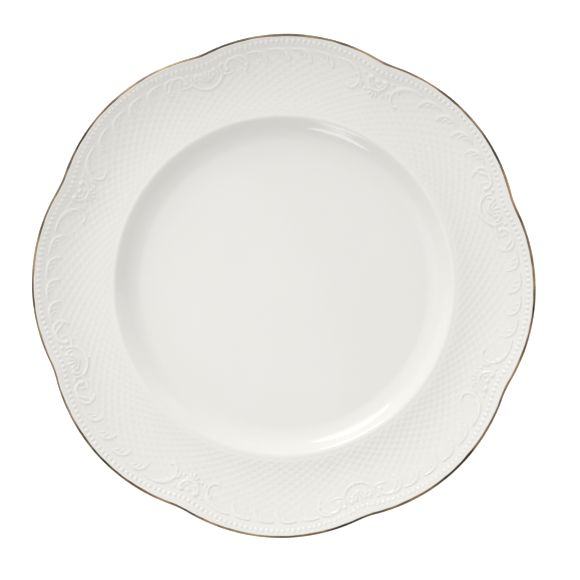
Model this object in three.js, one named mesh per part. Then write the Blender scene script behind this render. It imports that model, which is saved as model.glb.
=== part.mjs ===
// China dinner plate: one porcelain body with a lobed rim, its glaze, and a gilded lip.
// Millimetres, +Z up. The origin is the middle of the foot ring's standing face.

import * as THREE from "three";

// ---- Driving dimensions ----

// Outline from above: eight lobes, each an arc, joined by hollow fillets.
const PLATE_RADIUS = 135;
const LOBE_COUNT = 8;
const LOBE_ARC_RADIUS = 97;
const NOTCH_FILLET_RADIUS = 54;
// Rings inside the first radius stay round, and rings outside the second follow the lobes.
const ROUND_WITHIN = 93;
const LOBED_BEYOND = 124;

// Section of the glazed plate, from the middle of the floor out to the lip (slopes in degrees).
const FLOOR_HEIGHT = 7.2;
const FLOOR_RADIUS = 76.5;
const COVE_RADIUS = 14.6;
const COVE_SLOPE = 43;
const WALL_END_RADIUS = 89.9;
const SHOULDER_RADIUS = 3.2;
const RIM_SLOPE = -1.5;
const FLARE_START_RADIUS = 98;
const FLARE_ARC_RADIUS = 74;
const LIP_SLOPE = 23;
const LIP_NOSE_RADIUS = 1.4;

// Underside, from the lip back in to the foot ring.
const UNDER_LIP_SLOPE = 27;
const UNDER_FLARE_ARC_RADIUS = 78;
const UNDER_RIM_SLOPE = 0;
const UNDER_SHOULDER_START_RADIUS = 95.4;
const UNDER_SHOULDER_RADIUS = 5;
const UNDER_COVE_SLOPE = 42;
const UNDER_COVE_RADIUS = 20;
const UNDER_COVE_END_SLOPE = 24;

// Foot ring and the shallow recess inside it.
const FOOT_OUTER_RADIUS = 83.2;
const FOOT_INNER_RADIUS = 78.2;
const FOOT_FILLET_RADIUS = 1;
const FOOT_CORNER_RADIUS = 0.8;
const RECESS_HEIGHT = 2.8;

// Coats. The glaze stops short of the standing face, which is left bare.
const GLAZE_THICKNESS = 0.3;
const GLAZE_STOP_HEIGHT = 1.1;
const GILT_THICKNESS = 0.1;
const GILT_TOP_HEADING = -4;
const GILT_UNDER_HEADING = -130;

const SEGMENTS_AROUND = 80;

// ---- Section drawing ----

const radians = THREE.MathUtils.degToRad;

// A section line made of straights and arcs, each tangent to the one before. It is walked with the
// air on the left, so every point knows its outward normal.
class SectionLine {
  constructor(radius, height, heading) {
    this.spot = new THREE.Vector2(radius, height);
    this.heading = heading;
    this.points = [];
    this.mark();
  }

  outward() {
    const angle = radians(this.heading);
    return new THREE.Vector2(-Math.sin(angle), Math.cos(angle));
  }

  forward() {
    const angle = radians(this.heading);
    return new THREE.Vector2(Math.cos(angle), Math.sin(angle));
  }

  mark() {
    this.points.push({ spot: this.spot.clone(), outward: this.outward() });
  }

  straightToRadius(radius) {
    const forward = this.forward();
    this.spot.addScaledVector(forward, (radius - this.spot.x) / forward.x);
    this.mark();
    return this;
  }

  straightToHeight(height) {
    const forward = this.forward();
    this.spot.addScaledVector(forward, (height - this.spot.y) / forward.y);
    this.mark();
    return this;
  }

  // Turns on a circle to a new heading: left is a hollow, right is a round.
  arcToHeading(heading, radius, steps) {
    const turn = heading - this.heading;
    const side = Math.sign(turn);
    const centre = this.spot.clone().addScaledVector(this.outward(), side * radius);
    for (let step = 0; step < steps; step += 1) {
      this.heading += turn / steps;
      this.spot = centre.clone().addScaledVector(this.outward(), -side * radius);
      this.mark();
    }
    return this;
  }

  lastIndex() {
    return this.points.length - 1;
  }
}

// The line's points moved along their outward normals.
function movedOut(points, distance) {
  return points.map(({ spot, outward }) => spot.clone().addScaledVector(outward, distance));
}

// ---- Outline from above ----

// Distance from the middle to the edge, over that at a lobe's crown, in the direction `angle`.
function lobeShare(angle) {
  const halfLobe = Math.PI / LOBE_COUNT;
  const fromCrown = Math.abs(angle - 2 * halfLobe * Math.round(angle / (2 * halfLobe)));
  const arcOffset = PLATE_RADIUS - LOBE_ARC_RADIUS;
  const centres = LOBE_ARC_RADIUS + NOTCH_FILLET_RADIUS;
  const filletOffset = arcOffset * Math.cos(halfLobe)
    + Math.sqrt(centres ** 2 - (arcOffset * Math.sin(halfLobe)) ** 2);
  const filletCentre = new THREE.Vector2(
    filletOffset * Math.cos(halfLobe),
    filletOffset * Math.sin(halfLobe),
  );
  const joint = new THREE.Vector2(arcOffset, 0).lerp(filletCentre, LOBE_ARC_RADIUS / centres);
  if (fromCrown <= joint.angle()) {
    const across = arcOffset * Math.sin(fromCrown);
    const reach = arcOffset * Math.cos(fromCrown) + Math.sqrt(LOBE_ARC_RADIUS ** 2 - across ** 2);
    return reach / PLATE_RADIUS;
  }
  const fromNotch = halfLobe - fromCrown;
  const across = filletOffset * Math.sin(fromNotch);
  const reach = filletOffset * Math.cos(fromNotch) - Math.sqrt(NOTCH_FILLET_RADIUS ** 2 - across ** 2);
  return reach / PLATE_RADIUS;
}

// Turns a section into a solid round +Z, draws its outer rings in to the lobed outline, and leaves
// its faces pointing out whichever way round the section was given.
function turnedSolid(section) {
  const geometry = new THREE.LatheGeometry(section, SEGMENTS_AROUND);
  geometry.rotateX(Math.PI / 2);
  const position = geometry.getAttribute("position");
  for (let i = 0; i < position.count; i += 1) {
    const x = position.getX(i);
    const y = position.getY(i);
    const radius = Math.hypot(x, y);
    const lobed = THREE.MathUtils.smoothstep(radius, ROUND_WITHIN, LOBED_BEYOND);
    const share = 1 + lobed * (lobeShare(Math.atan2(y, x)) - 1);
    position.setXY(i, x * share, y * share);
  }
  if (THREE.ShapeUtils.isClockWise(section)) {
    const index = geometry.getIndex();
    for (let i = 0; i < index.count; i += 3) {
      const second = index.getX(i + 1);
      index.setX(i + 1, index.getX(i + 2));
      index.setX(i + 2, second);
    }
  }
  geometry.computeVertexNormals();
  return geometry;
}

// ---- The plate's section ----

// Glazed surface from the middle of the floor, over the lip and back in to the foot ring's outside.
const glazed = new SectionLine(0, FLOOR_HEIGHT, 0);
glazed
  .straightToRadius(FLOOR_RADIUS)
  .arcToHeading(COVE_SLOPE, COVE_RADIUS, 4)
  .straightToRadius(WALL_END_RADIUS)
  .arcToHeading(RIM_SLOPE, SHOULDER_RADIUS, 2)
  .straightToRadius(FLARE_START_RADIUS)
  .arcToHeading(LIP_SLOPE, FLARE_ARC_RADIUS, 3);
const noseCentreRadius = PLATE_RADIUS - GILT_THICKNESS - LIP_NOSE_RADIUS;
glazed
  .straightToRadius(noseCentreRadius - LIP_NOSE_RADIUS * Math.sin(radians(LIP_SLOPE)))
  .arcToHeading(GILT_TOP_HEADING, LIP_NOSE_RADIUS, 1);
const giltStart = glazed.lastIndex();
glazed.arcToHeading(GILT_UNDER_HEADING, LIP_NOSE_RADIUS, 3);
const giltEnd = glazed.lastIndex();
glazed
  .arcToHeading(UNDER_LIP_SLOPE - 180, LIP_NOSE_RADIUS, 1)
  .arcToHeading(UNDER_RIM_SLOPE - 180, UNDER_FLARE_ARC_RADIUS, 2)
  .straightToRadius(UNDER_SHOULDER_START_RADIUS)
  .arcToHeading(UNDER_COVE_SLOPE - 180, UNDER_SHOULDER_RADIUS, 2)
  .arcToHeading(UNDER_COVE_END_SLOPE - 180, UNDER_COVE_RADIUS, 2)
  .straightToRadius(FOOT_OUTER_RADIUS + FOOT_FILLET_RADIUS * (1 - Math.sin(radians(UNDER_COVE_END_SLOPE))))
  .arcToHeading(-90, FOOT_FILLET_RADIUS, 1)
  .straightToHeight(GLAZE_STOP_HEIGHT);

// Glazed surface of the recess, from the foot ring's inside in to the middle.
const recess = new SectionLine(FOOT_INNER_RADIUS, GLAZE_STOP_HEIGHT, -270);
recess
  .straightToHeight(RECESS_HEIGHT - FOOT_FILLET_RADIUS)
  .arcToHeading(-180, FOOT_FILLET_RADIUS, 2)
  .straightToRadius(0);

// Bare clay of the foot ring, from its outside wall round the standing face to its inside wall.
const foot = new SectionLine(FOOT_OUTER_RADIUS - GLAZE_THICKNESS, GLAZE_STOP_HEIGHT, -90);
foot
  .straightToHeight(FOOT_CORNER_RADIUS)
  .arcToHeading(-180, FOOT_CORNER_RADIUS, 2)
  .straightToRadius(FOOT_INNER_RADIUS + GLAZE_THICKNESS + FOOT_CORNER_RADIUS)
  .arcToHeading(-270, FOOT_CORNER_RADIUS, 2);

const clayUnderGlaze = movedOut(glazed.points, -GLAZE_THICKNESS);
const clayUnderRecess = movedOut(recess.points, -GLAZE_THICKNESS);
const clayOfFoot = movedOut(foot.points, 0);

// ---- Pieces ----

function porcelainBody() {
  const section = [...clayUnderGlaze, ...clayOfFoot.slice(1), ...clayUnderRecess];
  const material = new THREE.MeshStandardMaterial({ color: 0xf1eee6, roughness: 0.75, metalness: 0 });
  return new THREE.Mesh(turnedSolid(section), material);
}

function glazeCoat() {
  const section = [...clayUnderGlaze, ...movedOut(glazed.points, 0).reverse()];
  const material = new THREE.MeshStandardMaterial({ color: 0xf3f1ec, roughness: 0.08, metalness: 0 });
  return new THREE.Mesh(turnedSolid(section), material);
}

function recessGlaze() {
  const section = [...movedOut(recess.points, 0).reverse(), ...clayUnderRecess];
  const material = new THREE.MeshStandardMaterial({ color: 0xf3f1ec, roughness: 0.08, metalness: 0 });
  return new THREE.Mesh(turnedSolid(section), material);
}

function goldRimLine() {
  const covered = glazed.points.slice(giltStart, giltEnd + 1);
  const outside = movedOut(covered, GILT_THICKNESS);
  const section = [...outside, ...movedOut(covered, 0).reverse(), outside[0].clone()];
  const material = new THREE.MeshStandardMaterial({ color: 0xb8935a, roughness: 0.3, metalness: 1 });
  return new THREE.Mesh(turnedSolid(section), material);
}

const plate = new THREE.Group();
const pieces = {
  porcelain_body: porcelainBody(),
  glaze_coat: glazeCoat(),
  recess_glaze: recessGlaze(),
  gold_rim_line: goldRimLine(),
};
for (const [name, mesh] of Object.entries(pieces)) {
  mesh.name = name;
  plate.add(mesh);
}

export default plate;
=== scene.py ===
# A china dinner plate with a lobed rim, pressed beads, scrolls and lattice, and a gilded lip.
# Every surface is worked out here from the plate's section, its lobed outline and the relief on its rim.
import math

import bpy
import numpy as np
from mathutils import Matrix, Vector


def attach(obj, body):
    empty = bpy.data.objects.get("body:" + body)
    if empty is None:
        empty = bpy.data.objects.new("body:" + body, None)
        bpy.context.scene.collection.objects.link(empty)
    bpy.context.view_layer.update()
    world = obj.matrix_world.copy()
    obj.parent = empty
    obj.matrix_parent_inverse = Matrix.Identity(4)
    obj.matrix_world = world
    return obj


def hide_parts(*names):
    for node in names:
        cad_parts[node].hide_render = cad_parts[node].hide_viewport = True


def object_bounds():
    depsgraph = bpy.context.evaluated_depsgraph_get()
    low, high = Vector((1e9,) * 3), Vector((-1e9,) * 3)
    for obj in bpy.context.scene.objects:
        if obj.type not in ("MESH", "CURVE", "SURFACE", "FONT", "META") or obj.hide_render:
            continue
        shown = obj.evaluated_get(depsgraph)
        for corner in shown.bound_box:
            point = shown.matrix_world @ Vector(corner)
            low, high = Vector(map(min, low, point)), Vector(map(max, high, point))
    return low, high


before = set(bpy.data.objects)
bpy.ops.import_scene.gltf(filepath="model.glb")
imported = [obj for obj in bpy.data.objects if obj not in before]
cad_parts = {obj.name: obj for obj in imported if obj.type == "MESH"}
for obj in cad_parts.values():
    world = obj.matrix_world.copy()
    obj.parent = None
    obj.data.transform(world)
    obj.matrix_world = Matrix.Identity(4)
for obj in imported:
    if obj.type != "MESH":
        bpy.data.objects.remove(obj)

CAD_LOW, CAD_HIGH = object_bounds()
MM = 0.001

# ---- Outline from above, in millimetres ----

LOBES = 8
LOBE_ANGLE = 2 * math.pi / LOBES
PLATE_RADIUS = (CAD_HIGH.x - CAD_LOW.x) / 2 / MM
EDGE_CURVE = (PLATE_RADIUS, 97.0, 54.0)
BEAD_CURVE = (131.2, 80.0, 24.0)
ROUND_WITHIN, LOBED_BEYOND = 93.0, 124.0

# ---- Section, in millimetres and degrees, as in the CAD model ----

FLOOR_HEIGHT, FLOOR_RADIUS = 7.2, 76.5
COVE_RADIUS, COVE_SLOPE, WALL_END_RADIUS = 14.6, 43.0, 89.9
SHOULDER_RADIUS, RIM_SLOPE = 3.2, -1.5
FLARE_START_RADIUS, FLARE_ARC_RADIUS = 98.0, 74.0
LIP_SLOPE, LIP_NOSE_RADIUS = 23.0, 1.4
UNDER_LIP_SLOPE, UNDER_FLARE_ARC_RADIUS = 27.0, 78.0
UNDER_RIM_SLOPE, UNDER_SHOULDER_START_RADIUS = 0.0, 95.4
UNDER_SHOULDER_RADIUS, UNDER_COVE_SLOPE = 5.0, 42.0
UNDER_COVE_RADIUS, UNDER_COVE_END_SLOPE = 20.0, 24.0
FOOT_OUTER_RADIUS, FOOT_INNER_RADIUS = 83.2, 78.2
FOOT_FILLET_RADIUS, FOOT_CORNER_RADIUS = 1.0, 0.8
RECESS_HEIGHT = 2.8
GLAZE_THICKNESS, GLAZE_STOP_HEIGHT = 0.3, 1.1

# The gilding runs round the lip's nose between two borders, given by the way that the nose's surface
# heads there, and each border wavers by a few degrees. A wave is (how many times round the rim, share).
GILT_THICKNESS = 0.1
GILT_TOP_HEADING, GILT_UNDER_HEADING = -4.0, -128.0
GILT_TOP_WAVER, GILT_UNDER_WAVER = 11.0, 8.0
GILT_TOP_PHASE, GILT_UNDER_PHASE = 0.0, 2.0
GILT_WAVES = ((5, 0.35), (17, 0.3), (43, 0.2), (97, 0.15))

# ---- Mesh fineness: points round a ring, and millimetres from one ring to the next ----

AROUND_BEADS = 3456
AROUND_LATTICE = 1728
AROUND_CLAY_RIM = 1152
AROUND_PLAIN = 576
PLAIN_WITHIN, BEAD_ZONE_RADIUS, NOSE_ZONE_WIDTH = 92.4, 127.0, 3.0
MIDDLE_RINGS = ((4, 18), (11, 36), (22, 72), (38, 144), (58, 288))
FLAT_EDGE = 1.5
RIM_STEP, BEAD_STEP, CLAY_STEP, PLAIN_STEP = 0.42, 0.3, 0.8, 0.8
SHOULDER_STEP, NOSE_STEP = 0.25, 0.22
UNDER_STEP, UNDER_SHOULDER_STEP, UNDER_COVE_STEP = 2.0, 0.5, 1.0
FOOT_SIDE_STEP, FOOT_FILLET_STEP = 0.6, 0.25
BARE_SIDE_STEP, BARE_CORNER_STEP, BARE_FACE_STEP = 0.3, 0.16, 0.7
RECESS_SIDE_STEP, RECESS_FILLET_STEP, RECESS_STEP = 0.4, 0.2, 1.0
GILT_RINGS = 13

# ---- Relief on the rim, in millimetres ----

PRESSED_FROM, PRESSED_EDGE_MARGIN = 92.7, 1.2
RIDGE_POWER, BEAD_POWER = 1.5, 1.1
BEADS = 288
BEAD_RADIUS, BEAD_HEIGHT = 1.2, 0.44
BEAD_CHANNEL_HALF_WIDTH, BEAD_CHANNEL_DEPTH = 1.7, 0.1
GROOVE_BEHIND_BEADS, GROOVE_HALF_WIDTH, GROOVE_DEPTH = 2.9, 1.3, 0.12
LATTICE_LINES, LATTICE_TWIST = 112, 171.0
LATTICE_CROSSING_RADIUS, LATTICE_HEIGHT = 107.0, 0.125
LATTICE_INNER_RADIUS, LATTICE_EDGE_WIDTH = 93.2, 1.4
# The lattice starts this far in from the edge, and further in behind each cartouche: how much further
# at the cartouche's middle, and over what length of rim that fades.
LATTICE_DEPTH_AT_LOBES, LATTICE_START_WIDTH = 10.6, 1.8
BEHIND_FIRST, BEHIND_SECOND = (9.5, 16.0), (8.5, 12.0)
DRAWING_RADIUS = 126.0
HALF_PERIOD = LOBE_ANGLE * DRAWING_RADIUS
STROKE_STEP = 0.25

# The scrolls fill one lobe, from the middle of one cartouche to the middle of the next, and are mirrored
# into the next lobe. Each is a spiral stroke: where it starts (distance along the rim from the first
# cartouche, depth in from the edge), its heading there (0 along the rim, 90 inward), its length, how
# many degrees a millimetre it bends at its start and at its end, its half-widths at start, middle and
# end, and its height.
FIRST_CARTOUCHE = [
    (8.4, 10.4, 66, 13.4, 12, 6, (0.6, 1.0, 0.85), 0.48),
    (6.9, 13.0, -86, 7.4, -14, -62, (0.85, 0.8, 0.6), 0.46),
    (10.2, 14.4, 132, 12.6, 5, 2, (0.5, 0.9, 0.95), 0.42),
    (4.2, 17.4, 150, 4.6, 4, 4, (0.4, 0.6, 0.6), 0.3),
]
C_SCROLLS = [
    (12.0, 12.9, -104, 14.2, 17, 8, (1.05, 1.1, 0.6), 0.48),
    (14.3, 8.9, -24, 16.8, 4, 17, (0.6, 0.95, 1.0), 0.45),
    (18.2, 8.8, 30, 6.6, 5, 6, (0.55, 0.8, 0.65), 0.36),
    (15.0, 10.6, 60, 3.4, 12, 12, (0.55, 0.65, 0.4), 0.3),
    (9.9, 14.2, 34, 6.8, -10, -6, (0.65, 0.85, 0.45), 0.36),
]
SECOND_CARTOUCHE = [
    (74.0, 8.2, -4, 27.5, 0, 15, (0.6, 1.1, 0.9), 0.5),
    (81.2, 9.1, 14, 6.4, 3, 13, (0.6, 0.9, 0.85), 0.4),
    (84.6, 9.6, 60, 4.2, 6, 10, (0.55, 0.65, 0.4), 0.32),
    (93.5, 10.2, 98, 8.2, -13, -11, (0.7, 1.0, 0.95), 0.5),
    (95.2, 11.6, 60, 3.6, -14, -14, (0.5, 0.7, 0.6), 0.38),
]
LEAVES, LEAVES_START, LEAF_PITCH = 4, 24.9, 12.3
LEAF = [
    (0.0, 8.3, -9, 14.2, 1, 15, (0.5, 0.95, 0.8), 0.45),
    (3.4, 8.9, 42, 2.8, 4, 10, (0.6, 0.7, 0.4), 0.34),
    (6.0, 9.1, 54, 3.6, 6, 12, (0.65, 0.8, 0.4), 0.36),
    (8.8, 10.0, 74, 3.2, 6, 12, (0.65, 0.75, 0.4), 0.34),
]
# Fans of ribs, like little shells: where they spring from, the middle rib's heading, the angle between
# ribs, how many ribs lie to each side, the middle rib's length and how much shorter each next one is.
FANS = [
    (0.0, 15.2, -90, 27, 2, 5.4, 0.5),
    (98.96, 14.6, 90, 32, 2, 3.9, 0.4),
    (91.6, 14.6, 150, 34, 1, 2.6, 0.5),
]
FAN_RIB_WIDTHS, FAN_RIB_HEIGHT, FAN_SPRING = (0.4, 0.75, 0.95), 0.46, 0.8
# Bosses and ball ends: (along, depth, half-width, half-length in depth, height).
BOSSES = [
    (12.3, 12.8, 1.45, 1.3, 0.62),
    (23.2, 13.6, 1.2, 1.1, 0.52),
    (86.7, 12.2, 1.15, 1.1, 0.5),
    (94.8, 10.0, 1.7, 1.35, 0.7),
    (98.96, 10.9, 1.5, 1.0, 0.6),
    (9.7, 9.2, 1.1, 1.0, 0.5),
    (0.0, 19.9, 0.8, 1.0, 0.38),
    (93.2, 17.3, 1.0, 1.0, 0.45),
    (96.6, 13.7, 0.8, 0.9, 0.45),
    (90.6, 9.9, 0.9, 0.8, 0.42),
    (5.2, 9.6, 0.9, 0.8, 0.42),
]

# ---- Colours and finishes, with sizes in millimetres ----

NOISE_LOW, NOISE_HIGH = 0.3, 0.7

GLAZE_IOR, GLAZE_ROUGHNESS = 1.5, (0.05, 0.10)
GLAZE_WHITE, GLAZE_SHADE = (0.856, 0.847, 0.813), (0.84, 0.829, 0.792)
# The pooled colour is glaze pooling thicker in the relief's hollows, darkened further there as painted
# shade.
GLAZE_POOLED_AND_SHADED, PINHOLE_GREY = (0.79, 0.774, 0.734), (0.49, 0.46, 0.41)
GLAZE_CLOUD_SIZE, GLAZE_SMEAR_SIZE = 34, 11
# The height of relief where the glaze is darkest, partly from pooling and partly as painted shade in the
# hollows, the height where it isn't darkened, and its most share.
POOLS_AND_SHADES_AT, CLEAR_AT, MOST_POOLED_AND_SHADED = -0.15, 0.35, 0.55
PINHOLE_SPACING, PINHOLE_SIZE, PINHOLE_DEPTH = 9, 0.022, 0.03
PEEL_SIZE, PEEL_HEIGHT, RIPPLE_SIZE, RIPPLE_HEIGHT = 3.2, 0.012, 0.9, 0.002

CLAY_IOR, CLAY_ROUGHNESS = 1.45, (0.62, 0.84)
CLAY_CREAM, CLAY_RUBBED, CLAY_SPECK = (0.80, 0.76, 0.68), (0.66, 0.61, 0.53), (0.40, 0.34, 0.27)
CLAY_RUBBED_SIZE, CLAY_SPECK_SPACING, CLAY_SPECK_SIZE = 6, 2.4, 0.05
CLAY_GRAIN_SIZE, CLAY_GRAIN_HEIGHT, CLAY_DUST_SIZE, CLAY_DUST_HEIGHT = 0.5, 0.03, 0.16, 0.01

GOLD_ROUGHNESS = (0.24, 0.44)
GOLD_BRIGHT, GOLD_WORN = (0.42, 0.29, 0.165), (0.075, 0.056, 0.039)
GOLD_WEAR_SIZE, GOLD_WEAR_RANGE = 22, (0.38, 0.62)
GOLD_RUB_SIZE, GOLD_BRUSH_SIZE, GOLD_BRUSH_HEIGHT = 1.1, 0.35, 0.008

FLOOR_ROUGHNESS, FLOOR_IOR, FLOOR_GLOW = 0.9, 1.3, 0.4
FLOOR_WHITE, FLOOR_SHADE, FLOOR_CLOUD_SIZE = (0.97, 0.97, 0.97), (0.94, 0.94, 0.94), 220

# ---- Floor, camera and light, in metres, degrees and watts ----

FLOOR_HALF_WIDTH = 2.5

RIM_HEIGHT = 0.0215
SENSOR_WIDTH_MM = 36
CAMERA_DISTANCE, FRAME_WIDTH = 1.6, 0.31012
CAMERA_ROLL = 2.5
CAMERA_LEAN = (2.4, 1.0)
CAMERA_OFFSET = (0.00382, -0.00204)

# The sky brightens smoothly towards one direction, given as azimuth and elevation. Its span is the cosines
# from that direction at which it is darkest and brightest, and its strengths there.
SKY_TOWARD = (122, 32)
SKY_SPAN = (-0.2, 1.0, 0.536, 1.035)
# Each light's name, azimuth and elevation, distance, width and height, and power.
LIGHTS = [
    ("key", 121.5, 20.6, 1.6, (0.9, 0.68), 2.7),
    ("key_core", 121.5, 15.0, 1.6, (0.86, 0.38), 1.6),
    ("low_band", 145, 9, 2.2, (3.4, 0.5), 1.2),
    ("low_fill", 250, 13, 2.0, (0.78, 0.5), 3.2),
    ("far_fill", 30, 15, 1.6, (1.6, 0.8), 2.1),
    ("side", 205, 66, 0.45, (0.4, 0.4), 0.16),
    ("top", 122, 78, 1.8, (1.2, 1.2), 0.45),
]


# ---- Outline and section ----


def lobed_radius(angle, curve):
    """Distance from the middle to a lobed curve: arcs on the lobes, joined by hollow fillets."""
    crown, arc, fillet = curve
    half = LOBE_ANGLE / 2
    from_crown = np.abs(angle - LOBE_ANGLE * np.round(angle / LOBE_ANGLE))
    offset, centres = crown - arc, arc + fillet
    fillet_offset = offset * math.cos(half) + math.sqrt(centres**2 - (offset * math.sin(half)) ** 2)
    share = arc / centres
    joint_x = offset + (fillet_offset * math.cos(half) - offset) * share
    joint_angle = math.atan2(fillet_offset * math.sin(half) * share, joint_x)
    on_lobe = offset * np.cos(from_crown) + np.sqrt(arc**2 - (offset * np.sin(from_crown)) ** 2)
    from_notch = half - from_crown
    across = np.minimum((fillet_offset * np.sin(from_notch)) ** 2, fillet**2)
    in_notch = fillet_offset * np.cos(from_notch) - np.sqrt(fillet**2 - across)
    return np.where(from_crown <= joint_angle, on_lobe, in_notch)


def smoothstep(value, low, high):
    t = np.clip((value - low) / (high - low), 0, 1)
    return t * t * (3 - 2 * t)


def lobed(radius, angle):
    """Draws a round ring in to the lobed outline, the more so the nearer it is to the edge."""
    share = lobed_radius(angle, EDGE_CURVE) / PLATE_RADIUS
    return radius * (1 + smoothstep(radius, ROUND_WITHIN, LOBED_BEYOND) * (share - 1))


class SectionLine:
    """A section of straights and arcs, each tangent to the last, walked with the air on the left.
    Each station is (radius, height, outward radius, outward height)."""

    def __init__(self, radius, height, heading):
        self.spot = np.array([radius, height], float)
        self.heading = heading
        self.stations = []
        self.mark()

    def outward(self):
        angle = math.radians(self.heading)
        return np.array([-math.sin(angle), math.cos(angle)])

    def forward(self):
        angle = math.radians(self.heading)
        return np.array([math.cos(angle), math.sin(angle)])

    def mark(self):
        self.stations.append((*self.spot, *self.outward()))

    def straight(self, length, step):
        count = max(1, round(length / step))
        for _ in range(count):
            self.spot = self.spot + self.forward() * length / count
            self.mark()
        return self

    def to_radius(self, radius, step):
        return self.straight((radius - self.spot[0]) / self.forward()[0], step)

    def to_height(self, height, step):
        return self.straight((height - self.spot[1]) / self.forward()[1], step)

    def arc(self, heading, radius, step):
        turn = heading - self.heading
        side = math.copysign(1, turn)
        centre = self.spot + side * radius * self.outward()
        count = max(2, round(abs(math.radians(turn)) * radius / step))
        for _ in range(count):
            self.heading += turn / count
            self.spot = centre - side * radius * self.outward()
            self.mark()
        return self


def top_line(rim_step, bead_step):
    """The glazed face from the edge of the floor out to the top of the lip's nose."""
    line = SectionLine(FLOOR_RADIUS - FLAT_EDGE, FLOOR_HEIGHT, 0)
    line.straight(FLAT_EDGE, PLAIN_STEP)
    line.arc(COVE_SLOPE, COVE_RADIUS, PLAIN_STEP)
    line.to_radius(WALL_END_RADIUS, PLAIN_STEP)
    line.arc(RIM_SLOPE, SHOULDER_RADIUS, SHOULDER_STEP)
    line.to_radius(FLARE_START_RADIUS, rim_step)
    turned = math.degrees(math.asin((BEAD_ZONE_RADIUS - FLARE_START_RADIUS) / FLARE_ARC_RADIUS))
    line.arc(min(LIP_SLOPE, turned + RIM_SLOPE), FLARE_ARC_RADIUS, rim_step)
    line.arc(LIP_SLOPE, FLARE_ARC_RADIUS, bead_step)
    line.to_radius(nose_centre()[0] - LIP_NOSE_RADIUS * math.sin(math.radians(LIP_SLOPE)), bead_step)
    return line


def nose_centre():
    """Middle of the circle that rounds the lip, from the heights that the flare reaches."""
    radius = PLATE_RADIUS - GILT_THICKNESS - LIP_NOSE_RADIUS
    line = SectionLine(FLOOR_RADIUS, FLOOR_HEIGHT, 0)
    line.arc(COVE_SLOPE, COVE_RADIUS, PLAIN_STEP)
    line.to_radius(WALL_END_RADIUS, PLAIN_STEP)
    line.arc(RIM_SLOPE, SHOULDER_RADIUS, PLAIN_STEP)
    line.to_radius(FLARE_START_RADIUS, PLAIN_STEP)
    line.arc(LIP_SLOPE, FLARE_ARC_RADIUS, PLAIN_STEP)
    line.to_radius(radius - LIP_NOSE_RADIUS * math.sin(math.radians(LIP_SLOPE)), PLAIN_STEP)
    return line.spot - LIP_NOSE_RADIUS * line.outward()


def under_line():
    """The lip's nose, and the underside in to where the glaze stops on the foot ring's outside."""
    spot = nose_centre() + LIP_NOSE_RADIUS * np.array(
        [-math.sin(math.radians(LIP_SLOPE)), math.cos(math.radians(LIP_SLOPE))])
    line = SectionLine(*spot, LIP_SLOPE)
    line.arc(UNDER_LIP_SLOPE - 180, LIP_NOSE_RADIUS, NOSE_STEP)
    line.arc(UNDER_RIM_SLOPE - 180, UNDER_FLARE_ARC_RADIUS, UNDER_STEP)
    line.to_radius(UNDER_SHOULDER_START_RADIUS, UNDER_STEP)
    line.arc(UNDER_COVE_SLOPE - 180, UNDER_SHOULDER_RADIUS, UNDER_SHOULDER_STEP)
    line.arc(UNDER_COVE_END_SLOPE - 180, UNDER_COVE_RADIUS, UNDER_COVE_STEP)
    fillet_start = FOOT_FILLET_RADIUS * (1 - math.sin(math.radians(UNDER_COVE_END_SLOPE)))
    line.to_radius(FOOT_OUTER_RADIUS + fillet_start, UNDER_COVE_STEP)
    line.arc(-90, FOOT_FILLET_RADIUS, FOOT_FILLET_STEP)
    line.to_height(GLAZE_STOP_HEIGHT, FOOT_SIDE_STEP)
    return line


def recess_line():
    """The glazed recess, from where its glaze stops inside the foot ring in towards the middle."""
    line = SectionLine(FOOT_INNER_RADIUS, GLAZE_STOP_HEIGHT, -270)
    line.to_height(RECESS_HEIGHT - FOOT_FILLET_RADIUS, RECESS_SIDE_STEP)
    line.arc(-180, FOOT_FILLET_RADIUS, RECESS_FILLET_STEP)
    line.to_radius(FLOOR_RADIUS - FLAT_EDGE, RECESS_STEP)
    return line


def foot_line():
    """The bare clay of the foot ring, round its standing face."""
    line = SectionLine(FOOT_OUTER_RADIUS - GLAZE_THICKNESS, GLAZE_STOP_HEIGHT, -90)
    line.to_height(FOOT_CORNER_RADIUS, BARE_SIDE_STEP)
    line.arc(-180, FOOT_CORNER_RADIUS, BARE_CORNER_STEP)
    line.to_radius(FOOT_INNER_RADIUS + GLAZE_THICKNESS + FOOT_CORNER_RADIUS, BARE_FACE_STEP)
    line.arc(-270, FOOT_CORNER_RADIUS, BARE_CORNER_STEP)
    line.to_height(GLAZE_STOP_HEIGHT, BARE_SIDE_STEP)
    return line


# ---- Relief ----


def spiral(start_along, start_depth, heading, length, bend_start, bend_end, widths):
    """Points along a stroke that bends more and more, or less and less, and its half-width at each."""
    count = max(3, math.ceil(length / STROKE_STEP) + 1)
    share = np.linspace(0, 1, count)
    run = share * length
    turned = np.radians(heading + bend_start * run + (bend_end - bend_start) * run * share / 2)
    middle = (turned[1:] + turned[:-1]) / 2
    step = length / (count - 1)
    line = np.zeros((count, 2))
    line[1:, 0] = np.cumsum(np.cos(middle) * step)
    line[1:, 1] = np.cumsum(np.sin(middle) * step)
    return line + (start_along, start_depth), np.interp(share, [0, 0.5, 1], widths)


def fan(along, depth, heading, spread, sides, length, shortening):
    """The ribs of a fan, as stroke rows."""
    rows = []
    for k in range(-sides, sides + 1):
        turn = math.radians(heading + spread * k)
        start = (along + FAN_SPRING * math.cos(turn), depth + FAN_SPRING * math.sin(turn))
        rib = length - shortening * abs(k)
        rows.append((*start, math.degrees(turn), rib, 0, 0, FAN_RIB_WIDTHS, FAN_RIB_HEIGHT))
    return rows


def scroll_strokes():
    """Every stroke of one lobe, as (points, half-widths, height)."""
    rows = FIRST_CARTOUCHE + C_SCROLLS + SECOND_CARTOUCHE
    for count in range(LEAVES):
        rows = rows + [(row[0] + LEAVES_START + LEAF_PITCH * count, *row[1:]) for row in LEAF]
    for row in FANS:
        rows = rows + fan(*row)
    return [(*spiral(*row[:-1]), row[-1]) for row in rows]


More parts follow.
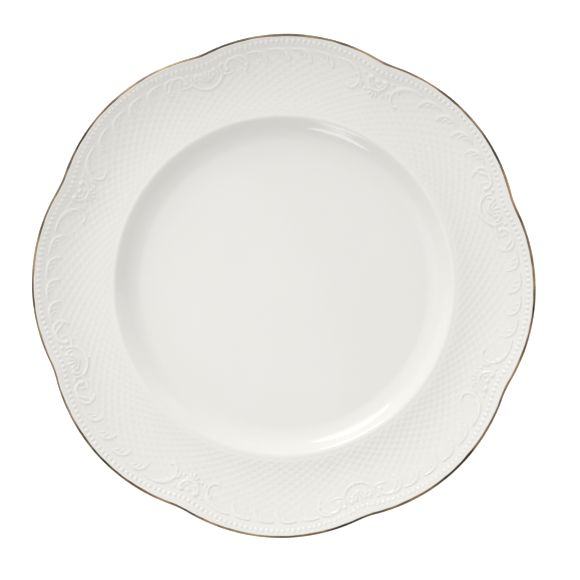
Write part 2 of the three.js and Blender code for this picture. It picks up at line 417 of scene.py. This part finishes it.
def rounded(distance):
    """A soft ridge: 1 on the line, 0 from a distance of 1, level at both."""
    return np.clip(1 - distance**2, 0, 1) ** RIDGE_POWER


def scroll_height(along, depth):
    """The strokes and bosses, which merge at the higher of the two where they cross."""
    height = np.zeros_like(along)
    for line, widths, peak in STROKES:
        low, high = line.min(axis=0) - widths.max(), line.max(axis=0) + widths.max()
        in_length = (along > low[0]) & (along < high[0])
        near = np.flatnonzero(in_length & (depth > low[1]) & (depth < high[1]))
        away = np.full(near.size, np.inf)
        for (x, y), width in zip(line, widths):
            away = np.minimum(away, np.hypot(along[near] - x, depth[near] - y) / width)
        height[near] = np.maximum(height[near], peak * rounded(away))
    for x, y, wide, tall, peak in BOSSES:
        away = np.hypot((along - x) / wide, (depth - y) / tall)
        height = np.maximum(height, peak * np.clip(1 - away**2, 0, 1))
    return height


def bead_height(angle, radius):
    """A row of round beads in a shallow channel, along a lobed curve."""
    pitch = 2 * math.pi / BEADS
    centre = pitch * np.round(angle / pitch)
    across = radius - lobed_radius(centre, BEAD_CURVE)
    away = np.hypot((angle - centre) * radius, across) / BEAD_RADIUS
    channel = rounded((radius - lobed_radius(angle, BEAD_CURVE)) / BEAD_CHANNEL_HALF_WIDTH)
    return BEAD_HEIGHT * np.clip(1 - away**2, 0, 1) ** BEAD_POWER - BEAD_CHANNEL_DEPTH * channel


def lattice_height(angle, radius, along, depth):
    """Two mirrored families of raised lines, which leave lozenge pits, inside the scrolls."""
    twist = LATTICE_TWIST * np.log(radius / LATTICE_CROSSING_RADIUS)
    one = (0.5 + 0.5 * np.cos(LATTICE_LINES * angle + twist)) ** 2
    other = (0.5 + 0.5 * np.cos(LATTICE_LINES * angle - twist)) ** 2
    start = (LATTICE_DEPTH_AT_LOBES + BEHIND_FIRST[0] * np.exp(-(along / BEHIND_FIRST[1]) ** 2)
             + BEHIND_SECOND[0] * np.exp(-((HALF_PERIOD - along) / BEHIND_SECOND[1]) ** 2))
    mask = smoothstep(depth, start, start + LATTICE_START_WIDTH)
    mask = mask * smoothstep(radius, LATTICE_INNER_RADIUS, LATTICE_INNER_RADIUS + LATTICE_EDGE_WIDTH)
    return LATTICE_HEIGHT * mask * (one + other - one * other)


def relief(angle, radius):
    """Height of the pressed relief above the plain rim."""
    first = LOBE_ANGLE / 2
    along = np.abs((angle - first + LOBE_ANGLE) % (2 * LOBE_ANGLE) - LOBE_ANGLE) * DRAWING_RADIUS
    depth = lobed_radius(angle, EDGE_CURVE) - radius
    groove = (radius - lobed_radius(angle, BEAD_CURVE) + GROOVE_BEHIND_BEADS) / GROOVE_HALF_WIDTH
    scrolls = scroll_height(along, depth)
    lattice = lattice_height(angle, radius, along, depth)
    return np.maximum(scrolls, lattice) + bead_height(angle, radius) - GROOVE_DEPTH * rounded(groove)


STROKES = scroll_strokes()


# ---- Skins: rings of points joined into a closed mesh ----


class Skin:
    def __init__(self):
        self.points, self.pool, self.faces, self.total = [], [], [], 0
        self.last = None

    def ring(self, station, count, inset=0.0, pressed=False):
        """Adds the ring that a station sweeps, and joins it to the ring before. Each point's value for the
        darker glaze, which is partly pooled glaze and partly painted shade, is its relief, or in the
        smooth well enough that the glaze isn't darkened."""
        base, height, out_r, out_z = station
        angle = np.arange(count) * 2 * math.pi / count
        radius = lobed(base, angle)
        raised = relief(angle, radius) if pressed else np.zeros(count)
        move = raised - inset
        radius = radius + out_r * move
        self.points.append(np.stack(
            [radius * np.cos(angle), radius * np.sin(angle), height + out_z * move], axis=1))
        well = 1 - smoothstep(radius, WALL_END_RADIUS, FLARE_START_RADIUS)
        # Value for the darker glaze: partly pooled glaze, partly painted shade in the hollows of the
        # relief.
        self.pool.append(np.maximum(raised, CLEAR_AT * well))
        ring = (self.total, count)
        self.total += count
        if self.last is not None:
            self.join(self.last, ring)
        self.last = ring

    def join(self, one, other):
        """Faces between two rings, one of which may hold a whole number of times the other's points."""
        (a, n), (b, m) = one, other
        if m >= n:
            share = m // n
            for i in range(n):
                wide = [b + (i * share + k) % m for k in range(share + 1)]
                self.faces.append([a + i, *wide, a + (i + 1) % n])
        else:
            share = n // m
            for i in range(m):
                wide = [a + (i * share + k) % n for k in range(share + 1)]
                self.faces.append([*wide[::-1], b + i, b + (i + 1) % m])

    def close_ends(self):
        """Caps the hole in the first ring and the hole in the last."""
        start, count = self.last
        self.faces.append(list(range(len(self.points[0]))))
        self.faces.append([start + i for i in reversed(range(count))])

    def loop_back(self):
        """Joins the last ring to the first, for a skin that closes on itself."""
        self.join(self.last, (0, len(self.points[0])))

    def mesh(self, name):
        mesh = bpy.data.meshes.new(name)
        mesh.from_pydata((np.vstack(self.points) * MM).tolist(), [], self.faces)
        mesh.attributes.new("relief", "FLOAT", "POINT").data.foreach_set(
            "value", np.concatenate(self.pool).astype(np.float32))
        mesh.shade_smooth()
        return mesh


def middle_rings(height, facing, outward):
    """Stations and counts of a flat disc, from its smallest ring out, or from its edge in."""
    rings = [((radius, height, 0.0, facing), count)
             for radius, count in MIDDLE_RINGS]
    return rings if outward else rings[::-1]


def face_rings(rim_count, bead_count, rim_step, bead_step):
    """Stations and counts of the whole upper face, from the middle out to the top of the nose."""
    rings = middle_rings(FLOOR_HEIGHT, 1.0, True)
    for station in top_line(rim_step, bead_step).stations:
        radius = station[0]
        count = AROUND_PLAIN if radius < PLAIN_WITHIN else rim_count
        rings.append((station, bead_count if radius > BEAD_ZONE_RADIUS else count))
    return rings


def pressed_at(station):
    """Whether a station lies on the part of the upper face that carries the relief."""
    return PRESSED_FROM < station[0] < PLATE_RADIUS - PRESSED_EDGE_MARGIN and station[3] > 0


def add_piece(name, skin, material, node):
    """Makes the piece of a skin, which takes the place of a CAD node."""
    mesh = skin.mesh(name)
    piece = bpy.data.objects.new(name, mesh)
    bpy.context.scene.collection.objects.link(piece)
    mesh.materials.append(material)
    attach(piece, "root")
    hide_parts(node)


def glazed_skin():
    """The glaze over the upper face, round the lip and down to the foot ring: its outside, pressed with
    the relief, and its inside, a glaze thickness within."""
    skin = Skin()
    outside = face_rings(AROUND_LATTICE, AROUND_BEADS, RIM_STEP, BEAD_STEP)
    inside = face_rings(AROUND_CLAY_RIM, AROUND_CLAY_RIM, CLAY_STEP, CLAY_STEP)
    for station, count in outside + under_rings(AROUND_BEADS):
        skin.ring(station, count, 0.0, pressed_at(station))
    for station, count in reversed(inside + under_rings(AROUND_CLAY_RIM)):
        skin.ring(station, count, GLAZE_THICKNESS, pressed_at(station))
    skin.close_ends()
    return skin


def under_rings(nose_count):
    """Stations and counts from the nose of the lip in to where the glaze stops at the foot ring."""
    return [(station, nose_count if station[0] > PLATE_RADIUS - NOSE_ZONE_WIDTH else AROUND_PLAIN)
            for station in under_line().stations[1:]]


def clay_skin():
    """The clay under the glazes, bare on the foot ring."""
    skin = Skin()
    face = face_rings(AROUND_CLAY_RIM, AROUND_CLAY_RIM, CLAY_STEP, CLAY_STEP)
    for station, count in face + under_rings(AROUND_CLAY_RIM):
        skin.ring(station, count, GLAZE_THICKNESS, pressed_at(station))
    for station in foot_line().stations[1:]:
        skin.ring(station, AROUND_PLAIN)
    for station, count in recess_rings()[1:]:
        skin.ring(station, count, GLAZE_THICKNESS)
    skin.close_ends()
    return skin


def recess_rings():
    """Stations and counts of the glazed recess, from the foot ring in to the middle."""
    rings = [(station, AROUND_PLAIN) for station in recess_line().stations]
    return rings + middle_rings(RECESS_HEIGHT, -1.0, False)


def recess_skin():
    """The glaze inside the foot ring."""
    skin = Skin()
    for station, count in reversed(recess_rings()):
        skin.ring(station, count, GLAZE_THICKNESS)
    for station, count in recess_rings():
        skin.ring(station, count)
    skin.close_ends()
    return skin


def gilding_skin():
    """The gold on the lip: a closed band brushed on by hand, so its two borders waver."""
    skin = Skin()
    angle = np.arange(AROUND_BEADS) * 2 * math.pi / AROUND_BEADS
    top = GILT_TOP_HEADING + GILT_TOP_WAVER * waver(angle, GILT_TOP_PHASE)
    under = GILT_UNDER_HEADING + GILT_UNDER_WAVER * waver(angle, GILT_UNDER_PHASE)
    centre = nose_centre()
    shares = np.linspace(0, 1, GILT_RINGS)
    outside = [(share, GILT_THICKNESS * math.sin(math.pi * share) ** 0.5) for share in shares]
    inside = [(share, 0.0) for share in shares[-2:0:-1]]
    for share, lift in outside + inside:
        heading = np.radians(top + (under - top) * share)
        out_r, out_z = -np.sin(heading), np.cos(heading)
        radius = centre[0] + LIP_NOSE_RADIUS * out_r
        height = centre[1] + LIP_NOSE_RADIUS * out_z
        skin.ring((radius, height, out_r, out_z), AROUND_BEADS, -lift)
    skin.loop_back()
    return skin


def waver(angle, phase):
    """A slow, uneven wave round the rim, between about -1 and 1."""
    return sum(size * np.sin(turns * angle + phase * turns) for turns, size in GILT_WAVES)


# ---- Materials ----

MIX_ONE, MIX_OTHER, MIX_RESULT = 6, 7, 2  # places of the colour sockets among a Mix node's sockets


def set_span(node, span):
    """Sets a Map Range node to carry span[0]..span[1] to span[2]..span[3]."""
    for socket, number in zip(("From Min", "From Max", "To Min", "To Max"), span):
        node.inputs[socket].default_value = number


class Finish:
    """A Principled material and short ways to add the nodes that vary it."""

    def __init__(self, name, **sockets):
        self.material = bpy.data.materials.new(name)
        self.material.use_nodes = True
        self.nodes = self.material.node_tree.nodes
        self.links = self.material.node_tree.links
        self.shader = self.nodes["Principled BSDF"]
        for socket, value in sockets.items():
            self.shader.inputs[socket.replace("_", " ")].default_value = value
        self.place = self.nodes.new("ShaderNodeTexCoord").outputs["Object"]

    def noise(self, size_mm, detail=2.0):
        """Noise whose blotches are about size_mm across, mostly between NOISE_LOW and NOISE_HIGH."""
        node = self.nodes.new("ShaderNodeTexNoise")
        node.inputs["Scale"].default_value = 1 / (size_mm * MM)
        node.inputs["Detail"].default_value = detail
        self.links.new(self.place, node.inputs["Vector"])
        return node.outputs["Fac"]

    def specks(self, spacing_mm, size):
        """1 in the middle of scattered round specks, 0 between them; size is a share of the spacing."""
        node = self.nodes.new("ShaderNodeTexVoronoi")
        node.inputs["Scale"].default_value = 1 / (spacing_mm * MM)
        self.links.new(self.place, node.inputs["Vector"])
        return self.span(node.outputs["Distance"], 0.0, size, 1.0, 0.0)

    def attribute(self, name):
        node = self.nodes.new("ShaderNodeAttribute")
        node.attribute_name = name
        return node.outputs["Fac"]

    def span(self, value, low, high, to_low, to_high):
        """Carries a value from the range low..high to the range to_low..to_high, and no further."""
        node = self.nodes.new("ShaderNodeMapRange")
        set_span(node, (low, high, to_low, to_high))
        self.links.new(value, node.inputs["Value"])
        return node.outputs["Result"]

    def mix(self, share, one, other):
        """Mixes two colours, either of which may be the output of another mix."""
        node = self.nodes.new("ShaderNodeMix")
        node.data_type = "RGBA"
        self.links.new(share, node.inputs["Factor"])
        for index, colour in ((MIX_ONE, one), (MIX_OTHER, other)):
            if isinstance(colour, tuple):
                node.inputs[index].default_value = (*colour, 1)
            else:
                self.links.new(colour, node.inputs[index])
        return node.outputs[MIX_RESULT]

    def colour(self, value):
        self.links.new(value, self.shader.inputs["Base Color"])

    def roughness(self, noise, lowest_and_highest):
        value = self.span(noise, NOISE_LOW, NOISE_HIGH, *lowest_and_highest)
        self.links.new(value, self.shader.inputs["Roughness"])

    def bump(self, *layers):
        """Raises the surface by each (value, height in mm) in turn."""
        normal = None
        for value, height in layers:
            node = self.nodes.new("ShaderNodeBump")
            node.inputs["Distance"].default_value = height * MM
            self.links.new(value, node.inputs["Height"])
            if normal is not None:
                self.links.new(normal, node.inputs["Normal"])
            normal = node.outputs["Normal"]
        self.links.new(normal, self.shader.inputs["Normal"])


def glaze_material():
    """Clear glaze on white china: glossy, a little darker and warmer where it pools in the relief's
    hollows, which is partly painted shade there, with a faint orange peel and a few pinholes."""
    finish = Finish("china_glaze", IOR=GLAZE_IOR)
    clouds = finish.mix(finish.noise(GLAZE_CLOUD_SIZE, 3), GLAZE_WHITE, GLAZE_SHADE)
    # Darker and warmer in the relief's hollows, and kept clear in the well: partly pooled glaze, partly
    # painted shade.
    pool = finish.span(finish.attribute("relief"), POOLS_AND_SHADES_AT, CLEAR_AT, MOST_POOLED_AND_SHADED, 0.0)
    pooled = finish.mix(pool, clouds, GLAZE_POOLED_AND_SHADED)
    pinholes = finish.specks(PINHOLE_SPACING, PINHOLE_SIZE)
    finish.colour(finish.mix(pinholes, pooled, PINHOLE_GREY))
    finish.roughness(finish.noise(GLAZE_SMEAR_SIZE, 4), GLAZE_ROUGHNESS)
    finish.bump(
        (finish.noise(PEEL_SIZE, 1), PEEL_HEIGHT),
        (finish.noise(RIPPLE_SIZE, 2), RIPPLE_HEIGHT),
        (pinholes, -PINHOLE_DEPTH))
    return finish.material


def clay_material():
    """Bare fired clay: matt, cream, finely grained, a little rubbed where the plate stands."""
    finish = Finish("bare_china_clay", IOR=CLAY_IOR)
    grain = finish.noise(CLAY_GRAIN_SIZE, 4)
    rubbed = finish.mix(finish.noise(CLAY_RUBBED_SIZE, 4), CLAY_CREAM, CLAY_RUBBED)
    finish.colour(finish.mix(finish.specks(CLAY_SPECK_SPACING, CLAY_SPECK_SIZE), rubbed, CLAY_SPECK))
    finish.roughness(grain, CLAY_ROUGHNESS)
    finish.bump((grain, CLAY_GRAIN_HEIGHT), (finish.noise(CLAY_DUST_SIZE, 1), CLAY_DUST_HEIGHT))
    return finish.material


def gold_material():
    """Old burnished gold: brushed thin, browner where it has worn."""
    finish = Finish("burnished_gold", Metallic=1.0)
    worn = finish.span(finish.noise(GOLD_WEAR_SIZE, 5), *GOLD_WEAR_RANGE, 0.0, 1.0)
    finish.colour(finish.mix(worn, GOLD_BRIGHT, GOLD_WORN))
    finish.roughness(finish.noise(GOLD_RUB_SIZE, 3), GOLD_ROUGHNESS)
    finish.bump((finish.noise(GOLD_BRUSH_SIZE, 3), GOLD_BRUSH_HEIGHT))
    return finish.material


def floor_material():
    """Matt white card, which glows a little so that it stays white behind the plate."""
    finish = Finish("pale_floor", Roughness=FLOOR_ROUGHNESS, IOR=FLOOR_IOR,
                    Emission_Color=(1, 1, 1, 1), Emission_Strength=FLOOR_GLOW)
    finish.colour(finish.mix(finish.noise(FLOOR_CLOUD_SIZE, 2), FLOOR_WHITE, FLOOR_SHADE))
    return finish.material


# ---- The plate ----


def make_plate():
    glaze, clay, gold = glaze_material(), clay_material(), gold_material()
    add_piece("clay_body_fine", clay_skin(), clay, "porcelain_body")
    add_piece("glaze_coat_fine", glazed_skin(), glaze, "glaze_coat")
    add_piece("recess_glaze_fine", recess_skin(), glaze, "recess_glaze")
    add_piece("gold_rim_line_fine", gilding_skin(), gold, "gold_rim_line")


# ---- Floor, light and camera ----


def make_floor():
    half = FLOOR_HALF_WIDTH
    mesh = bpy.data.meshes.new("floor")
    corners = [(x * half, y * half, CAD_LOW.z) for x, y in ((-1, -1), (1, -1), (1, 1), (-1, 1))]
    mesh.from_pydata(corners, [], [(0, 1, 2, 3)])
    mesh.materials.append(floor_material())
    floor = bpy.data.objects.new("floor", mesh)
    bpy.context.scene.collection.objects.link(floor)


def direction(azimuth, elevation):
    """A direction from its azimuth, counter-clockwise from +X, and its elevation."""
    flat, up = math.radians(azimuth), math.radians(elevation)
    return Vector((math.cos(up) * math.cos(flat), math.cos(up) * math.sin(flat), math.sin(up)))


def soft_box(name, azimuth, elevation, distance, size, power):
    """An elliptical light that faces the plate."""
    lamp = bpy.data.lights.new(name, "AREA")
    lamp.shape = "ELLIPSE"
    lamp.size, lamp.size_y = size
    lamp.energy = power
    box = bpy.data.objects.new(name, lamp)
    bpy.context.scene.collection.objects.link(box)
    toward = direction(azimuth, elevation)
    turn = toward.to_track_quat("Z", "Y").to_matrix().to_4x4()
    box.matrix_world = Matrix.Translation(toward * distance) @ turn


def make_lights():
    """A smooth studio sky, brighter on one side, and soft lights for the reflections in the glaze."""
    world = bpy.data.worlds.new("studio")
    bpy.context.scene.world = world
    world.use_nodes = True
    nodes, links = world.node_tree.nodes, world.node_tree.links
    background = nodes["Background"]
    background.inputs["Color"].default_value = (1, 1, 1, 1)
    toward = nodes.new("ShaderNodeVectorMath")
    toward.operation = "DOT_PRODUCT"
    toward.inputs[1].default_value = direction(*SKY_TOWARD)
    links.new(nodes.new("ShaderNodeTexCoord").outputs["Generated"], toward.inputs[0])
    strength = nodes.new("ShaderNodeMapRange")
    strength.interpolation_type = "SMOOTHSTEP"
    set_span(strength, SKY_SPAN)
    links.new(toward.outputs["Value"], strength.inputs["Value"])
    links.new(strength.outputs["Result"], background.inputs["Strength"])
    for light in LIGHTS:
        soft_box(*light)


def make_camera():
    """A camera high over the plate, turned and leaning by a few degrees."""
    camera = bpy.data.cameras.new("camera")
    camera.sensor_width = SENSOR_WIDTH_MM
    camera.lens = camera.sensor_width * CAMERA_DISTANCE / FRAME_WIDTH
    view = bpy.data.objects.new("camera", camera)
    bpy.context.scene.collection.objects.link(view)
    bpy.context.scene.camera = view
    roll = Matrix.Rotation(math.radians(CAMERA_ROLL), 3, "Z")
    lean = Vector([math.tan(math.radians(angle)) for angle in CAMERA_LEAN] + [1])
    back = (roll @ lean).normalized()
    across = roll @ Vector((1, 0, 0))
    right = (across - back * across.dot(back)).normalized()
    up = back.cross(right)
    aim = Vector((0, 0, RIM_HEIGHT)) + right * CAMERA_OFFSET[0] + up * CAMERA_OFFSET[1]
    turn = Matrix((right, up, back)).transposed().to_4x4()
    view.matrix_world = Matrix.Translation(aim + back * CAMERA_DISTANCE) @ turn


make_camera()
make_plate()
make_floor()
make_lights()
bpy.context.scene.view_settings.view_transform = "Standard"
